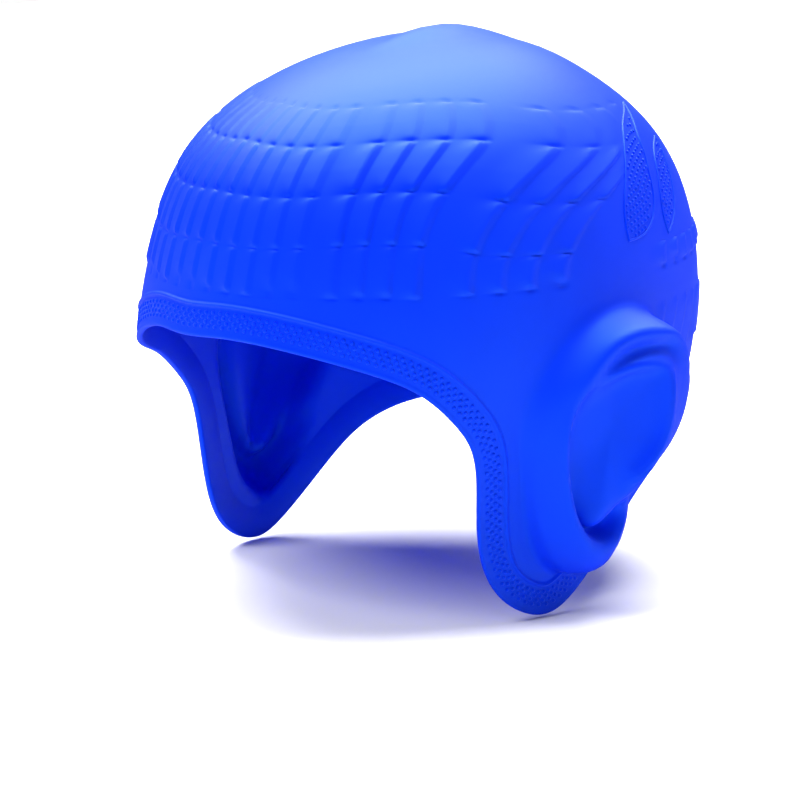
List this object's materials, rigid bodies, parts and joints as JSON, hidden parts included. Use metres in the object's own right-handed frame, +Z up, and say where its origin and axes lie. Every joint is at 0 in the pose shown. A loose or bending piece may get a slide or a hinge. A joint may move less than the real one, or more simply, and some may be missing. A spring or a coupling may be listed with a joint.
{
  "type": "swim cap",
  "caption": "One-piece moulded silicone swim cap with ribbed crown, hollow ear pockets, ear flaps and a beaded edge band, in its worn shape.",
  "frame": {"origin": "inside of the crown's top, where the cap rests on the head", "axes": "+Z up out of the crown, -Y towards the face, +X towards the wearer's left ear"},
  "size_m": [0.1918, 0.196, 0.1766],
  "materials": {
    "cap_silicone": "satin"
  },
  "bodies": {
    "root": {"cap_shell": "cap_silicone"}
  },
  "joints": []
}
